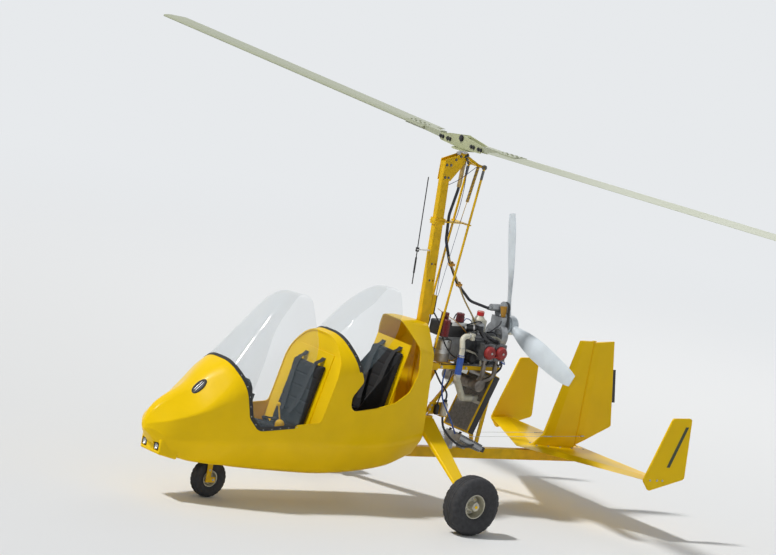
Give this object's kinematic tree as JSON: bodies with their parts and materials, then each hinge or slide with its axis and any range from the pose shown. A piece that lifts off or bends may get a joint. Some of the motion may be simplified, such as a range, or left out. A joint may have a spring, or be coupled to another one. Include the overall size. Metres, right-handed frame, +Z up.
{
  "type": "tandem two-seat open-cockpit gyrocopter",
  "caption": "Tandem two-seat gyrocopter with open cockpits, pusher engine and propeller, teetering rotor on a mast, tricycle gear and a finned tail boom",
  "frame": {"origin": "on the ground, under the middle of the machine's length and width", "axes": "+X forward to the nose, +Y to port, +Z up"},
  "size_m": [4.475, 8.2238, 2.9343],
  "materials": {
    "hull_paint": "gloss yellow moulding",
    "tub_paint": "satin yellow moulding",
    "frame_paint": "yellow powder coat",
    "tail_paint": "gloss yellow paint",
    "screen": "clear blown acrylic",
    "lamp_glass": "clear lamp",
    "cushion": "black seat cloth",
    "black_plastic": "satin black",
    "panel": "matt black panel",
    "alloy": "raw cast alloy",
    "cover_red": "dull red covers",
    "gearbox_alloy": "cast alloy",
    "exhaust": "heat-stained steel",
    "bottle": "milky plastic",
    "radiator_core": "grey core",
    "rotor_alloy": "pale anodised plates",
    "blade_alloy": "pale grey blades",
    "prop_grey": "pale grey composite",
    "tyre": "dark grey rubber",
    "rim": "cream rim",
    "steel": "zinc-plated steel",
    "rubber_trim": "black rubber edging",
    "hose_blue": "blue rubber hose",
    "hose_black": "black sheathed flexible shaft"
  },
  "bodies": {
    "airframe": {"fuselage_shell": "hull_paint", "landing_lamp_left": "lamp_glass", "landing_lamp_right": "lamp_glass", "cockpit_tub": "tub_paint", "front_seat_cushion": "cushion", "rear_seat_cushion": "cushion", "front_windscreen": "screen", "rear_windscreen": "screen", "instrument_panel": "panel", "control_stick": "black_plastic", "throttle_quadrant": "frame_paint", "rudder_pedals": "steel", "keel_boom": "frame_paint", "mast": "frame_paint", "engine_mount": "frame_paint", "engine_block": "alloy", "reduction_gearbox": "gearbox_alloy", "exhaust_muffler": "exhaust", "coolant_bottle": "bottle", "airbox": "black_plastic", "radiator": "radiator_core", "oil_cooler": "radiator_core", "control_rods": "frame_paint", "rotor_head": "steel", "gear_leg_left": "frame_paint", "gear_leg_right": "frame_paint", "gear_carrier": "frame_paint", "stabiliser": "tail_paint", "end_plate_left": "tail_paint", "end_plate_right": "tail_paint", "fin": "tail_paint", "front_coaming_trim": "rubber_trim", "rear_coaming_trim": "rubber_trim", "whip_antenna": "black_plastic", "rocker_covers_left": "cover_red", "rocker_covers_right": "cover_red", "prerotator_drive": "gearbox_alloy", "coolant_pipe": "bottle", "coolant_hose": "hose_blue", "radiator_frame": "frame_paint", "prerotator_shaft": "hose_black", "seat_bulkhead": "hull_paint"},
    "rotor": {"rotor_hub": "rotor_alloy", "rotor_blade_a": "blade_alloy", "rotor_blade_b": "blade_alloy"},
    "propeller": {"propeller_hub": "prop_grey", "propeller_blade_1": "prop_grey", "propeller_blade_2": "prop_grey", "propeller_blade_3": "prop_grey"},
    "nose_gear": {"nose_fork": "frame_paint"},
    "nose_wheel": {"nose_tyre": "tyre", "nose_rim": "rim"},
    "main_wheel_left": {"main_left_tyre": "tyre", "main_left_rim": "rim"},
    "main_wheel_right": {"main_right_tyre": "tyre", "main_right_rim": "rim"},
    "rudder": {"rudder": "tail_paint"}
  },
  "joints": [
    {"name": "rotor_spin", "type": "hinge", "parent": "airframe", "child": "rotor", "pos_m": [-0.2465, 0, 2.77], "axis": [0, 0, 1], "continuous": true},
    {"name": "propeller_spin", "type": "hinge", "parent": "airframe", "child": "propeller", "pos_m": [-1.0215, 0, 1.4], "axis": [1, 0, 0], "continuous": true},
    {"name": "nose_steer", "type": "hinge", "parent": "airframe", "child": "nose_gear", "pos_m": [1.6085, 0, 0.4], "axis": [0, 0, 1], "range_deg": [-25, 25]},
    {"name": "nose_wheel_spin", "type": "hinge", "parent": "nose_gear", "child": "nose_wheel", "pos_m": [1.5655, 0, 0.142], "axis": [0, 1, 0], "continuous": true},
    {"name": "main_wheel_left_spin", "type": "hinge", "parent": "airframe", "child": "main_wheel_left", "pos_m": [-0.1915, 0.915, 0.2225], "axis": [0, 1, 0], "continuous": true},
    {"name": "main_wheel_right_spin", "type": "hinge", "parent": "airframe", "child": "main_wheel_right", "pos_m": [-0.1915, -0.915, 0.2225], "axis": [0, 1, 0], "continuous": true},
    {"name": "rudder_hinge", "type": "hinge", "parent": "airframe", "child": "rudder", "pos_m": [-1.9135, 0, 0.9], "axis": [0, 0, 1], "range_deg": [-25, 25]}
  ]
}
